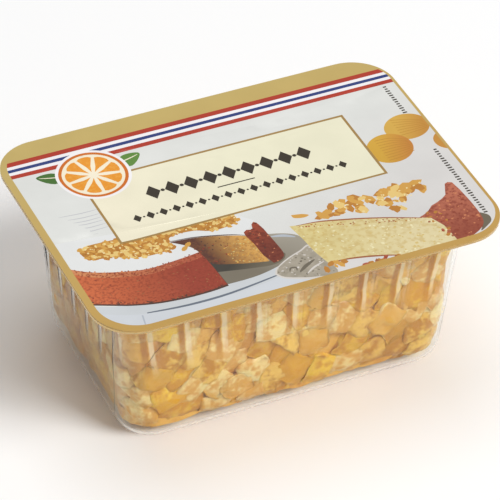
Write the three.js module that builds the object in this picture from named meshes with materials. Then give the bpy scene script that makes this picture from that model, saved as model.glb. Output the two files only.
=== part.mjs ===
// A sealed retail tub of diced candied orange peel, in three pieces: the clear
// thermoformed tub with its sealing flange, the diced peel that fills it, and the
// printed film sealed over the flange. Millimetres, +Z up, with the origin under
// the middle of the base. Nothing on it moves.

import * as THREE from 'three';

// ---------------------------------------------------------------- dimensions

const LENGTH = 96; // flange and film, along X
const WIDTH = 70.4; // flange and film, along Y
const HEIGHT = 42.2; // underside of the base to the top of the film
const FLANGE_CORNER = 10.2; // plan radius of the flange and film corners

const FILM = 0.3; // thickness of the sealed film
const SHEET = 0.6; // thickness of the tub's clear sheet
const CLEARANCE = 0.3; // left between the tub and the pieces that lie against it

const BASE_LENGTH = 78.5; // where the walls, run on down, would meet the base
const BASE_WIDTH = 51;
const BASE_CORNER = 8.7; // plan radius of the tub's corners at the base
const TOP_CORNER = 6; // and just under the flange, where they are tighter
const BASE_EDGE = 4.5; // radius of the edge between a wall and the base
const DRAFT = 0.06; // how far a wall leans out for each unit of height

const LONG_FLUTES = 8; // shallow upright panels along a long wall
const SHORT_FLUTES = 5;
const FLUTE_DEPTH = 0.8; // how far a panel lies behind the ribs beside it
const FLUTE_FOOT = 17.5; // height where a panel starts to sink in
const FLUTE_FULL = 28; // height where it reaches its depth
const FLUTE_SHOULDER = 37; // height where it starts to come back out
const FLUTE_TOP = 40.5; // height where it meets the plain band under the flange

const DICE = 7.5; // a usual edge of one piece of peel
const DICE_RELIEF = 1.1; // how far the heap's sides step in between pieces
const HEAP_RELIEF = 2.2; // how far the heap's top steps down between pieces
const HEAP_EDGE = 7; // radius of the heap's lower edge, looser than the tub's

// ------------------------------------------------------------------- outlines

const CORNER_STEPS = 5;
const EDGE_STEPS = 3;
const FLUTE_SHARES = [0, 0.15, 0.85]; // where a panel's outline has a point
const FLANGE_UNDERSIDE = HEIGHT - FILM - SHEET;
const FLANGE_TOP = HEIGHT - FILM;

/** How deep the panels are at height z, as a share of their full depth. */
function fluteShare(z) {
  const sinking = THREE.MathUtils.smoothstep(z, FLUTE_FOOT, FLUTE_FULL);
  const rising = THREE.MathUtils.smoothstep(z, FLUTE_SHOULDER, FLUTE_TOP);
  return sinking * (1 - rising);
}

/**
 * A rounded rectangle at height z, anticlockwise from above, whose four sides are
 * drawn in by `flute` between evenly spaced ribs. Every outline has as many points
 * as the next, in the same order, so that two of them can be joined by a strip.
 */
function outline(halfX, halfY, corner, z, flute = 0) {
  const points = [];
  const sides = [
    { turn: 0, half: halfX, reach: halfY, flutes: LONG_FLUTES },
    { turn: 1, half: halfY, reach: halfX, flutes: SHORT_FLUTES },
    { turn: 2, half: halfX, reach: halfY, flutes: LONG_FLUTES },
    { turn: 3, half: halfY, reach: halfX, flutes: SHORT_FLUTES },
  ];
  for (const { turn, half, reach, flutes } of sides) {
    const along = half - corner;
    const quarter = (turn * Math.PI) / 2;
    const place = (x, y) =>
      points.push(
        new THREE.Vector3(
          x * Math.cos(quarter) - y * Math.sin(quarter),
          x * Math.sin(quarter) + y * Math.cos(quarter),
          z,
        ),
      );
    for (let k = 0; k < flutes; k++) {
      for (const share of FLUTE_SHARES) {
        const inward = share === 0 ? 0 : flute;
        place(-along + (2 * along * (k + share)) / flutes, -reach + inward);
      }
    }
    for (let k = 0; k < CORNER_STEPS; k++) {
      const angle = (-Math.PI / 2) * (1 - k / CORNER_STEPS);
      place(along + corner * Math.cos(angle), -reach + corner + corner * Math.sin(angle));
    }
  }
  return points;
}

/** The tub's outline at height z, moved inwards by `inset` all round. */
function tubOutline(z, inset = 0, flute = 0) {
  const lean = DRAFT * z - inset;
  const corner = THREE.MathUtils.lerp(BASE_CORNER, TOP_CORNER, z / HEIGHT) - inset;
  return outline(BASE_LENGTH / 2 + lean, BASE_WIDTH / 2 + lean, corner, z, flute);
}

/**
 * The outlines from the base up to the last height, for a surface that lies
 * `inset` inside the tub's outer face, over a lower edge rounded to `edge`.
 */
function wallOutlines(inset, edge, floor, heights) {
  const rings = [];
  for (let k = 0; k <= EDGE_STEPS; k++) {
    const angle = (k / EDGE_STEPS) * (Math.PI / 2);
    const rise = floor + edge * (1 - Math.cos(angle));
    rings.push(tubOutline(rise, inset + edge * (1 - Math.sin(angle))));
  }
  for (const z of heights) {
    rings.push(tubOutline(z, inset, FLUTE_DEPTH * fluteShare(z)));
  }
  return rings;
}

// --------------------------------------------------------------------- bodies

/** A closed body: strips between successive outlines, and a fan over each end. */
function loft(rings) {
  const around = rings[0].length;
  const middle = (ring) =>
    ring.reduce((sum, p) => sum.add(p), new THREE.Vector3()).divideScalar(around);
  const points = [...rings.flat(), middle(rings[0]), middle(rings.at(-1))];
  const firstEnd = rings.length * around;
  const triangles = [];
  for (let j = 0; j < around; j++) {
    const next = (j + 1) % around;
    for (let i = 0; i + 1 < rings.length; i++) {
      const [a, b] = [i * around + j, i * around + next];
      const [c, d] = [a + around, b + around];
      triangles.push(a, b, d, a, d, c);
    }
    const last = (rings.length - 1) * around;
    triangles.push(firstEnd, next, j);
    triangles.push(firstEnd + 1, last + j, last + next);
  }
  const geometry = new THREE.BufferGeometry().setFromPoints(points);
  geometry.setIndex(triangles);
  geometry.computeVertexNormals();
  return geometry;
}

const WALL_HEIGHTS = [FLUTE_FOOT, 23, FLUTE_FULL, FLUTE_SHOULDER, FLUTE_TOP];

/** The clear tub: outer face, flange, and inner face one sheet thickness inside. */
function tubGeometry() {
  const flange = (z) => outline(LENGTH / 2, WIDTH / 2, FLANGE_CORNER, z);
  const outer = wallOutlines(0, BASE_EDGE, 0, [...WALL_HEIGHTS, FLANGE_UNDERSIDE]);
  const inner = wallOutlines(SHEET, BASE_EDGE - SHEET, SHEET, [...WALL_HEIGHTS, FLANGE_TOP]);
  return loft([...outer, flange(FLANGE_UNDERSIDE), flange(FLANGE_TOP), ...inner.reverse()]);
}

/** A smooth unevenness from 0 to 1 with the spacing of the diced pieces. */
function diceRelief(x, y, z) {
  const wave = (Math.PI * 2) / (2 * DICE);
  const lumps =
    Math.sin(x * wave + 1.7 * Math.sin(z * wave + 0.6)) *
      Math.cos(y * wave * 1.13 + 1.3 * Math.sin(x * wave * 0.7)) +
    0.6 * Math.sin(z * wave * 1.21 + 2.1 * Math.cos((x - y) * wave * 0.5));
  return THREE.MathUtils.clamp(0.5 + 0.5 * lumps, 0, 1);
}

/** The heap of diced peel, out to its uneven outline, up to just under the film. */
function peelGeometry() {
  const inset = SHEET + CLEARANCE;
  const floor = SHEET + CLEARANCE;
  const shoulder = FLANGE_TOP - CLEARANCE - HEAP_RELIEF;
  const heights = [FLUTE_FOOT - 5, FLUTE_FOOT, 23, FLUTE_FULL, FLUTE_SHOULDER - 3, shoulder];
  const rings = wallOutlines(inset, HEAP_EDGE, floor, heights);
  for (const ring of rings) {
    for (const p of ring) {
      const squeeze = DICE_RELIEF * diceRelief(p.x, p.y, p.z);
      p.x -= Math.sign(p.x) * Math.min(squeeze, Math.abs(p.x) / 4);
      p.y -= Math.sign(p.y) * Math.min(squeeze, Math.abs(p.y) / 4);
    }
  }
  const rim = rings.at(-1);
  for (const share of [0.93, 0.78, 0.6, 0.4, 0.2]) {
    rings.push(
      rim.map((p) => {
        const [x, y] = [p.x * share, p.y * share];
        const lift = HEAP_RELIEF * (1 - diceRelief(x, y, 0));
        return new THREE.Vector3(x, y, shoulder + lift);
      }),
    );
  }
  return loft(rings);
}

/** The film, cut to the flange's outline. */
function filmGeometry() {
  const [x, y, r] = [LENGTH / 2 - FLANGE_CORNER, WIDTH / 2 - FLANGE_CORNER, FLANGE_CORNER];
  const shape = new THREE.Shape();
  shape.absarc(x, y, r, 0, Math.PI / 2);
  shape.absarc(-x, y, r, Math.PI / 2, Math.PI);
  shape.absarc(-x, -y, r, Math.PI, (Math.PI * 3) / 2);
  shape.absarc(x, -y, r, (Math.PI * 3) / 2, Math.PI * 2);
  return new THREE.ExtrudeGeometry(shape, { depth: FILM, bevelEnabled: false, curveSegments: 12 });
}

// ----------------------------------------------------------------- scene graph

const clearPlastic = new THREE.MeshStandardMaterial({
  color: '#eef1ee',
  roughness: 0.08,
  metalness: 0,
  transparent: true,
  opacity: 0.3,
});
const candiedPeel = new THREE.MeshStandardMaterial({
  color: '#d9a956',
  roughness: 0.35,
  metalness: 0,
});
const printedFilm = new THREE.MeshStandardMaterial({
  color: '#c4ac64',
  roughness: 0.35,
  metalness: 0.1,
});

/** A mesh under its node's name. */
function piece(name, geometry, material) {
  const mesh = new THREE.Mesh(geometry, material);
  mesh.name = name;
  return mesh;
}

const tub = piece('tub', tubGeometry(), clearPlastic);
const peel = piece('candied_peel', peelGeometry(), candiedPeel);
const film = piece('lid_film', filmGeometry(), printedFilm);
film.position.z = FLANGE_TOP;

const pack = new THREE.Group();
pack.add(tub, peel, film);

export default pack;
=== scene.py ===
"""A sealed clear tub of diced candied orange peel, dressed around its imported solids.

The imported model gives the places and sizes. Three sub-assemblies stand for its three
nodes: the thermoformed tub, the heap of diced peel and the printed film on the flange.
Lengths inside the classes are millimetres, and meshes are scaled to metres when made.
"""

import logging
import math
import random
from dataclasses import dataclass, field
from enum import Enum
from functools import partial
from typing import Iterable, Sequence

import bpy
import numpy as np
from mathutils import Matrix, Vector, noise
from mathutils.geometry import delaunay_2d_cdt


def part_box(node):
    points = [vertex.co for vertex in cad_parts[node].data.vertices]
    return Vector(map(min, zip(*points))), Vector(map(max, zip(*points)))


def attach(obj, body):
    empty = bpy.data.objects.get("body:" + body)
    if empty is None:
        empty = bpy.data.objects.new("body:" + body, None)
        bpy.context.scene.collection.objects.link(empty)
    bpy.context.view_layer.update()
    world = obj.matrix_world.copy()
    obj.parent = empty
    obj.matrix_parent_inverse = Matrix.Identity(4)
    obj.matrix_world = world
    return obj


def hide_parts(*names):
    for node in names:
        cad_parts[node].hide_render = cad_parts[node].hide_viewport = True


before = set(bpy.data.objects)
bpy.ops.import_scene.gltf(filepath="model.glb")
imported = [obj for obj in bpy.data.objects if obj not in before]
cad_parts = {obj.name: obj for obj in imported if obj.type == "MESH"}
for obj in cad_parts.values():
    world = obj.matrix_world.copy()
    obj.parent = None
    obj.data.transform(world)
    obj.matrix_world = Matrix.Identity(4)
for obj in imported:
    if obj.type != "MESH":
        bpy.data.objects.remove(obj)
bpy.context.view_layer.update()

MM = 0.001
BODY = "root"
log = logging.getLogger("peel_tub")

Point = tuple[float, float]
Face = tuple[int, ...]
Amount = float | np.ndarray


# ------------------------------------------------------------------ small helpers


def srgb(code: str) -> tuple[float, float, float, float]:
    """Turn an sRGB hex colour into the linear colour that a shader takes.

    Args:
        code: the colour as "#RRGGBB".

    Returns:
        Linear red, green and blue, and an alpha of 1.
    """
    values = [int(code[i : i + 2], 16) / 255 for i in (1, 3, 5)]
    linear = [v / 12.92 if v <= 0.04045 else ((v + 0.055) / 1.055) ** 2.4 for v in values]
    return (linear[0], linear[1], linear[2], 1.0)


def add_node(
    tree: bpy.types.NodeTree, kind: str, sockets: Sequence | dict = (), **settings
) -> bpy.types.Node:
    """Add one node with its settings, plain values and links.

    Args:
        tree: the node tree that gets the node.
        kind: the node's type name.
        sockets: what its inputs take, in order, or by the input's name or number. Each is
            a value, an output socket or a node, which stands for its first output in use.
        settings: properties of the node itself.

    Returns:
        The new node.
    """
    node = tree.nodes.new(kind)
    for name, value in settings.items():
        setattr(node, name, value)
    given = sockets if isinstance(sockets, dict) else dict(enumerate(sockets))
    for key, value in given.items():
        if isinstance(value, bpy.types.Node):
            value = next(output for output in value.outputs if output.enabled)
        if isinstance(value, bpy.types.NodeSocket):
            tree.links.new(value, node.inputs[key])
        else:
            node.inputs[key].default_value = value
    return node


def open_material(name: str) -> tuple[bpy.types.Material, bpy.types.NodeTree]:
    """Make a material with an empty tree.

    Args:
        name: the material's name.

    Returns:
        The material and its tree.
    """
    material = bpy.data.materials.new(name)
    material.use_nodes = True
    material.node_tree.nodes.clear()
    return material, material.node_tree


def smoothstep(low: float, high: float, value: Amount) -> Amount:
    """Ease from 0 at low to 1 at high, for one value or an array of them."""
    t = np.clip((value - low) / (high - low), 0.0, 1.0)
    return t * t * (3 - 2 * t)


def mesh_object(
    name: str,
    points: np.ndarray,
    faces: Sequence[Face],
    materials: Iterable[bpy.types.Material],
    slots: Sequence[int] | None = None,
    sharp_degrees: float = 35.0,
) -> bpy.types.Object:
    """Make a smooth-shaded mesh piece at the origin.

    Args:
        name: the piece's name.
        points: its vertices in millimetres.
        faces: its faces as vertex numbers, anticlockwise from outside.
        materials: its materials.
        slots: the material number of each face, or None for the first all over.
        sharp_degrees: edges that turn by more than this stay sharp.

    Returns:
        The new object, linked to the scene.
    """
    mesh = bpy.data.meshes.new(name)
    mesh.from_pydata((np.asarray(points) * MM).tolist(), [], [list(f) for f in faces])
    for material in materials:
        mesh.materials.append(material)
    if slots is not None:
        mesh.polygons.foreach_set("material_index", list(slots))
    mesh.shade_smooth()
    mesh.set_sharp_from_angle(angle=math.radians(sharp_degrees))
    mesh.update()
    piece = bpy.data.objects.new(name, mesh)
    bpy.context.scene.collection.objects.link(piece)
    return piece


def loft(rings: list[np.ndarray], first: float, last: float) -> tuple[np.ndarray, list[Face]]:
    """Join successive outlines by strips, and close both ends with fans.

    Args:
        rings: the outlines, each of as many points, anticlockwise from above.
        first: height of the middle of the fan over the first one.
        last: height of the middle of the fan over the last one.

    Returns:
        The points and the faces, which face outwards where the outlines go upwards.
    """
    around = len(rings[0])
    middle = len(rings) * around
    steps = [(j, (j + 1) % around) for j in range(around)]
    faces: list[Face] = []
    for low in range(0, middle - around, around):
        high = low + around
        faces += [(low + j, low + k, high + k, high + j) for j, k in steps]
    for j, k in steps:
        faces.append((middle, k, j))
        faces.append((middle + 1, middle - around + j, middle - around + k))
    return np.concatenate([*rings, [[0, 0, first], [0, 0, last]]]), faces


# ---------------------------------------------------------------------- the shape


@dataclass(frozen=True)
class TubShape:
    """Sizes of the thermoformed tub in millimetres, as the solids have them."""

    length: float
    width: float
    height: float
    flange_corner: float = 10.2
    film: float = 0.3
    sheet: float = 0.6
    base_length: float = 78.5
    base_width: float = 51.0
    base_corner: float = 8.7
    top_corner: float = 6.0
    least_corner: float = 0.4
    pressed_corner: float = 0.6
    base_edge: float = 4.5
    draft: float = 0.06
    long_flutes: int = 8
    short_flutes: int = 5
    flute_depth: float = 0.8
    flute_foot: float = 15.0
    flute_full: float = 27.0
    flute_shoulder: float = 38.0
    flute_top: float = 40.3
    flute_crowding: float = 0.85
    rib_crest: float = 0.1
    rib_foot: float = 2.2
    corner_steps: int = 12
    flute_steps: int = 18

    @classmethod
    def from_frame(cls) -> "TubShape":
        """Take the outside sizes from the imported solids."""
        low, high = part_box("lid_film")
        return cls((high.x - low.x) / MM, (high.y - low.y) / MM, high.z / MM)

    @property
    def flange_top(self) -> float:
        """Height of the face that the film is sealed to."""
        return self.height - self.film

    @property
    def flange_underside(self) -> float:
        """Height of the flange's lower face."""
        return self.height - self.film - self.sheet

    def flute_shares(self) -> np.ndarray:
        """Where across one panel its outline has points: close together at the ribs."""
        even = np.arange(self.flute_steps) / self.flute_steps
        return even - self.flute_crowding * np.sin(math.tau * even) / math.tau

    def half_sides(self, z: Amount, inset: Amount) -> tuple[Amount, Amount]:
        """Half the tub's length and width at height z, inset from its outer face."""
        lean = self.draft * z - inset
        return self.base_length / 2 + lean, self.base_width / 2 + lean

    def corner(self, z: Amount, inset: Amount) -> Amount:
        """Plan radius of the tub's corners at height z, inset from its outer face."""
        share = z / self.height
        return self.base_corner + (self.top_corner - self.base_corner) * share - inset

    def panel_depth(self, z: Amount) -> Amount:
        """How far the panels between the ribs lie behind them.

        Args:
            z: the height, or an array of heights.

        Returns:
            The depth at each height.
        """
        sinking = smoothstep(self.flute_foot, self.flute_full, z)
        rising = smoothstep(self.flute_shoulder, self.flute_top, z)
        return self.flute_depth * sinking * (1 - rising)

    def behind_rib(self, from_rib: Amount) -> Amount:
        """The share of a panel's depth at a distance along the wall from a rib."""
        return smoothstep(self.rib_crest, self.rib_foot, from_rib)

    def ring(
        self, half_x: float, half_y: float, corner: float, z: float, dent: float = 0.0
    ) -> np.ndarray:
        """One closed outline round the tub, anticlockwise from above.

        Args:
            half_x: half its size along X.
            half_y: half its size along Y.
            corner: radius of its corners.
            z: its height.
            dent: how far the panels between ribs are drawn in.

        Returns:
            An array of points, as many and in the same order for every outline.
        """
        parts = []
        for turn in range(4):
            half, reach = (half_x, half_y) if turn % 2 == 0 else (half_y, half_x)
            flutes = self.long_flutes if turn % 2 == 0 else self.short_flutes
            along = half - corner
            share = (np.arange(flutes)[:, None] + self.flute_shares()).ravel()
            from_rib = np.abs(share - np.round(share)) * 2 * along / flutes
            x = -along + 2 * along * share / flutes
            y = -reach + dent * self.behind_rib(from_rib)
            angle = -math.pi / 2 * (1 - np.arange(self.corner_steps) / self.corner_steps)
            x = np.concatenate([x, along + corner * np.cos(angle)])
            y = np.concatenate([y, -reach + corner + corner * np.sin(angle)])
            c, s = round(math.cos(turn * math.pi / 2)), round(math.sin(turn * math.pi / 2))
            parts.append(np.stack([x * c - y * s, x * s + y * c, np.full_like(x, z)], axis=1))
        return np.concatenate(parts)

    def wall_ring(self, z: float, inset: float = 0.0, dent: float = 0.0) -> np.ndarray:
        """The wall's outline at height z, inset from its outer face."""
        half_x, half_y = self.half_sides(z, inset)
        return self.ring(half_x, half_y, max(self.corner(z, inset), self.least_corner), z, dent)

    def press_in(
        self, points: np.ndarray, inset: Amount, edge: float, low: Amount, high: Amount
    ) -> None:
        """Push points that lie beyond the inside of the tub back onto it.

        Args:
            points: the points, changed in place.
            inset: how far inside the outer face they have to stay, for all or for each.
            edge: radius of the lower edge that they have to stay inside.
            low: the lowest height that they may have, for all or for each.
            high: the greatest height that they may have, for all or for each.
        """
        points[:, 2] = np.clip(points[:, 2], low, high)
        z = points[:, 2]
        under = np.clip(edge - (z - low), 0, edge)
        total = inset + self.panel_depth(z) + edge - np.sqrt(edge**2 - under**2)
        half_x, half_y = self.half_sides(z, total)
        corner = np.maximum(self.corner(z, total), self.pressed_corner)
        qx = np.abs(points[:, 0]) - (half_x - corner)
        qy = np.abs(points[:, 1]) - (half_y - corner)
        ox, oy = np.maximum(qx, 0), np.maximum(qy, 0)
        outside = np.hypot(ox, oy) + np.minimum(np.maximum(qx, qy), 0) - corner
        size = np.maximum(np.hypot(ox, oy), 1e-6)
        move = np.maximum(outside, 0) / size
        points[:, 0] -= np.sign(points[:, 0]) * ox * move
        points[:, 1] -= np.sign(points[:, 1]) * oy * move


# -------------------------------------------------------------------- the clear tub


@dataclass(frozen=True)
class ThermoformedPet:
    """Clear PET sheet, formed over a mould: glossy, colourless, a little wavy.

    Where the hot sheet stretched most it lost some of its gloss, in soft upright patches.
    """

    tint: str = "#FBFCFA"
    ior: float = 1.45
    roughness: float = 0.03
    stretch_mm: float = 7.0

    def material(self) -> bpy.types.Material:
        """Build the material. The waviness that bends reflections is in the mesh.

        Returns:
            The new material.
        """
        material, tree = open_material("thermoformed_pet")
        add = partial(add_node, tree)
        place = add("ShaderNodeTexCoord").outputs["Object"]
        upright = add("ShaderNodeMapping", {"Vector": place, "Scale": (1.0, 1.0, 0.3)})
        size = 1 / (self.stretch_mm * MM)
        drawn = add("ShaderNodeTexNoise", {"Vector": upright, "Scale": size, "Detail": 3.0})
        gloss, dull = self.roughness - 0.01, self.roughness + 0.05
        surface = {
            "Base Color": srgb(self.tint),
            "Roughness": add("ShaderNodeMapRange", (drawn, 0.35, 0.7, gloss, dull)),
            "IOR": self.ior,
            "Transmission Weight": 1.0,
        }
        shader = add("ShaderNodeBsdfPrincipled", surface)
        add("ShaderNodeOutputMaterial", {"Surface": shader})
        return material


@dataclass
class ClearTub:
    """The thermoformed tub: fluted walls, rounded base edge and sealing flange."""

    shape: TubShape
    finish: ThermoformedPet = ThermoformedPet()
    edge_steps: int = 8
    wall_steps: int = 44
    fillet: float = 0.9
    fillet_steps: int = 4
    wave: float = 0.05
    wave_length: float = 11.0

    def skin(self, inset: float, top: float) -> list[np.ndarray]:
        """Rings of one face of the sheet, from the base up to a height.

        Args:
            inset: how far this face lies inside the outer face.
            top: the height where it ends.

        Returns:
            The rings, from the edge of the flat base upwards.
        """
        shape, edge = self.shape, self.shape.base_edge - inset
        rings = []
        for k in range(self.edge_steps + 1):
            angle = k / self.edge_steps * math.pi / 2
            rise = inset + edge * (1 - math.cos(angle))
            rings.append(shape.wall_ring(rise, inset + edge * (1 - math.sin(angle))))
        start = shape.base_edge
        for k in range(1, self.wall_steps + 1):
            z = start + (top - start) * k / self.wall_steps
            rings.append(shape.wall_ring(z, inset, float(shape.panel_depth(z))))
        return rings

    def rings(self) -> list[np.ndarray]:
        """List every ring, up the outside, round the flange and down the inside.

        Returns:
            The rings, in that order.
        """
        shape, r = self.shape, self.fillet
        under, top = shape.flange_underside, shape.flange_top
        outer = self.skin(0.0, under - r)
        for k in range(1, self.fillet_steps + 1):
            angle = k / self.fillet_steps * math.pi / 2
            z = under - r + r * math.sin(angle)
            outer.append(shape.wall_ring(z, -r * (1 - math.cos(angle))))
        edge = partial(shape.ring, shape.length / 2, shape.width / 2, shape.flange_corner)
        inner = [*self.skin(shape.sheet, top - r), shape.wall_ring(top, shape.sheet - r / 2)]
        return [*outer, edge(under), edge(top), *reversed(inner)]

    def ripple(self, points: np.ndarray) -> None:
        """Bend the walls by the slight waves that a formed sheet has.

        Args:
            points: the tub's points, changed in place.
        """
        low, high, fade, top = 1.0, 9.0, 4.0, self.shape.flange_underside - self.fillet
        for p in points:
            rise = float(smoothstep(low, high, p[2]) * (1 - smoothstep(top - fade, top, p[2])))
            if rise > 0:
                drift = noise.noise(Vector(p) / self.wave_length) * self.wave * rise
                size = max(math.hypot(p[0], p[1]), 1e-6)
                p[:2] += p[:2] / size * (drift - self.wave * rise)

    def build(self) -> bpy.types.Object:
        """Make the tub and hand it to the frame.

        Returns:
            The finished piece.
        """
        points, faces = loft(self.rings(), 0.0, self.shape.sheet)
        self.ripple(points)
        tub = mesh_object("clear_tub", points, faces, [self.finish.material()])
        tub.visible_shadow = False
        tub.visible_diffuse = False
        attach(tub, BODY)
        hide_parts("tub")
        return tub


# ------------------------------------------------------------------ the diced peel


@dataclass(frozen=True)
class CandiedFlesh:
    """Peel cooked through in a sugar bath: translucent, moist and unevenly coloured.

    The white of the peel turns cream to amber, and its outer skin stays orange. Light
    goes a few millimetres into it, and its sugary film gives it a soft gloss. Where a
    die lies back from the clear wall, painted shade darkens it. Behind each rib lies a
    painted highlight, and beside it a painted shade.
    """

    name: str
    pale: str
    deep: str
    skin: str
    skin_share: float
    mottle_mm: float = 2.8
    mottle_gain: float = 4.8
    grain_mm: float = 0.9
    grain_gain: float = 2.2
    pore_mm: float = 0.55
    roughness: float = 0.3
    skin_blur: float = 0.1
    skin_most: float = 0.8
    # painted shade: this colour darkens a die where it lies back from the clear wall
    recess_shade: str = "#B8740E"
    recess_shade_most: float = 0.6
    # painted light of the ribs: a pale painted highlight behind each rib and a deep painted shade
    # beside it
    rib_highlight: str = "#F6E4BC"
    rib_highlight_most: float = 0.68
    rib_highlight_mm: Point = (0.3, 0.95)
    rib_shade: str = "#B06C0C"
    rib_shade_most: float = 0.75
    rib_shade_mm: Point = (0.4, 1.1)
    rib_shade_offset: float = 1.55

    def painted_rib_light(
        self, tree: bpy.types.NodeTree, place: bpy.types.NodeSocket, shape: TubShape
    ) -> bpy.types.Node:
        """The painted highlight behind each hollow rib and the painted shade beside it, on the dice.

        Each row of the sums below has the new value's name, what is done, and to what.

        Args:
            tree: the material's nodes.
            place: the socket with the object coordinates.
            shape: the tub, for its ribs' places and heights.

        Returns:
            A node: towards 1 in the painted highlight behind a rib, -1 in the painted shade beside it.
        """
        spread = shape.draft + (shape.base_corner - shape.top_corner) / shape.height
        pale, deep = [mm * MM for mm in self.rib_highlight_mm], [mm * MM for mm in self.rib_shade_mm]
        whole = 50  # keeps the shares that are cut to their fraction above 0
        sums: list[tuple] = []
        for wall, along, across, size, flutes, hand in (
            ("long", "x", "y", shape.base_length, shape.long_flutes, -1.0),
            ("short", "y", "x", shape.base_width, shape.short_flutes, 1.0),
        ):
            start = size / 2 - shape.base_corner
            sums += [
                ("pitch", "MULTIPLY_ADD", "z", spread * 2 / flutes, start * 2 / flutes * MM),
                ("side", "SIGN", across),
                ("turned", "MULTIPLY", "side", hand),
                ("run", "MULTIPLY", along, "turned"),
                ("share", "DIVIDE", "run", "pitch"),
                ("shifted", "ADD", "share", flutes / 2 + whole + 0.5),
                ("part", "FRACT", "shifted"),
                ("off", "SUBTRACT", "part", 0.5),
                (wall, "MULTIPLY", "off", "pitch"),
            ]
        sums += [
            ("far_x", "ABSOLUTE", "x"),
            ("far_y", "ABSOLUTE", "y"),
            ("reach", "SUBTRACT", "far_x", "far_y"),
            ("end", "GREATER_THAN", "reach", (shape.base_length - shape.base_width) / 2 * MM),
            ("swap", "SUBTRACT", "short", "long"),
            ("rib", "MULTIPLY_ADD", "swap", "end", "long"),
            ("near", "ABSOLUTE", "rib"),
            # pale is the painted highlight behind a rib, deep the painted shade beside it
            ("pale", "SMOOTHSTEP", "near", *pale, 1.0, 0.0),
            ("next", "ADD", "rib", self.rib_shade_offset * MM),
            ("beside", "ABSOLUTE", "next"),
            ("deep", "SMOOTHSTEP", "beside", *deep, 1.0, 0.0),
            ("foot", "SMOOTHSTEP", "z", (shape.flute_foot + 3) * MM, shape.flute_full * MM, 0.0, 1.0),
            ("top", "SMOOTHSTEP", "z", shape.flute_shoulder * MM, shape.flute_top * MM, 1.0, 0.0),
            ("height", "MULTIPLY", "foot", "top"),
            ("both", "SUBTRACT", "pale", "deep"),
            ("bands", "MULTIPLY", "both", "height"),
        ]
        known = dict(zip("xyz", add_node(tree, "ShaderNodeSeparateXYZ", (place,)).outputs))
        for name, step, *terms in sums:
            inputs = [known.get(term, term) for term in terms]
            eased = step == "SMOOTHSTEP"
            kind = "ShaderNodeMapRange" if eased else "ShaderNodeMath"
            setting = {"interpolation_type" if eased else "operation": step}
            known[name] = add_node(tree, kind, inputs, **setting)
        return known["bands"]

    def material(self, shape: TubShape) -> bpy.types.Material:
        """Build the material from the dice's own tone and depth, painted shade, and three noises.

        Args:
            shape: the tub, whose ribs place the painted highlights and shades on the dice behind them.

        Returns:
            The new material.
        """
        material, tree = open_material(self.name)
        add = partial(add_node, tree)
        place = add("ShaderNodeTexCoord").outputs["Object"]
        tone, depth, recess_shade = (
            add("ShaderNodeAttribute", attribute_name=name).outputs["Fac"]
            for name in ("tone", "depth", "recess_shade")
        )
        sizes = ((self.mottle_mm, 3.0), (self.grain_mm, 4.0), (self.pore_mm, 2.0))
        mottle, grain, pores = (
            add("ShaderNodeTexNoise", {"Vector": place, "Scale": 1 / (mm * MM), "Detail": detail})
            for mm, detail in sizes
        )
        drift, speckle = (
            add("ShaderNodeMath", (pattern, gain, -gain / 2), operation="MULTIPLY_ADD")
            for pattern, gain in ((mottle, self.mottle_gain), (grain, self.grain_gain))
        )
        uneven = add("ShaderNodeMath", (drift, speckle), operation="ADD")
        mixed = add("ShaderNodeMath", (tone, uneven), operation="ADD", use_clamp=True)
        edge = 1 - self.skin_share
        wander = add("ShaderNodeMath", (drift, 0.08, depth), operation="MULTIPLY_ADD")
        across = (wander, edge - self.skin_blur, edge + self.skin_blur, 0.0, self.skin_most)
        rind = add("ShaderNodeMapRange", across, interpolation_type="SMOOTHSTEP")
        bands = self.painted_rib_light(tree, place, shape)
        recess_shaded, pale, deep = (
            add("ShaderNodeMath", (value, gain), operation="MULTIPLY", use_clamp=True)
            for value, gain in (
                (recess_shade, self.recess_shade_most),
                (bands, self.rib_highlight_most),
                (bands, -self.rib_shade_most),
            )
        )
        colour: object = srgb(self.pale)
        # The last three layers are painted light: shade where a die lies back from the wall, a
        # highlight behind each rib and a shade beside it.
        for share, code in (
            (mixed, self.deep),
            (rind, self.skin),
            (recess_shaded, self.recess_shade),
            (pale, self.rib_highlight),
            (deep, self.rib_shade),
        ):
            layers = {0: share, 6: colour, 7: srgb(code)}
            colour = add("ShaderNodeMix", layers, data_type="RGBA")
        moist, dry = self.roughness - 0.08, self.roughness + 0.12
        pitted = {"Height": pores, "Strength": 0.5, "Distance": 0.08 * MM}
        surface = {
            "Base Color": colour,
            "Roughness": add("ShaderNodeMapRange", (mottle, 0.3, 0.7, moist, dry)),
            "Normal": add("ShaderNodeBump", pitted),
            "IOR": 1.45,
            "Subsurface Weight": 0.3,
            "Subsurface Radius": (1.0, 0.75, 0.5),
            "Subsurface Scale": 0.9 * MM,
            "Specular IOR Level": 0.3,
        }
        shader = add("ShaderNodeBsdfPrincipled", surface)
        add("ShaderNodeOutputMaterial", {"Surface": shader})
        return material


class Cut(Enum):
    """The kinds of dice in the heap, with the share of each and its finish."""

    PITH = (0.38, CandiedFlesh("candied_pith", "#F1D68E", "#DBA346", "#DB9E1C", 0.12))
    AMBER = (0.36, CandiedFlesh("candied_flesh", "#EBC058", "#C0810C", "#D0960C", 0.16))
    RIND = (0.26, CandiedFlesh("candied_rind", "#EEC234", "#D39206", "#D89A04", 0.42))

    @property
    def share(self) -> float:
        """This kind's share of the dice."""
        return self.value[0]

    @property
    def finish(self) -> CandiedFlesh:
        """This kind's finish."""
        return self.value[1]


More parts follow.
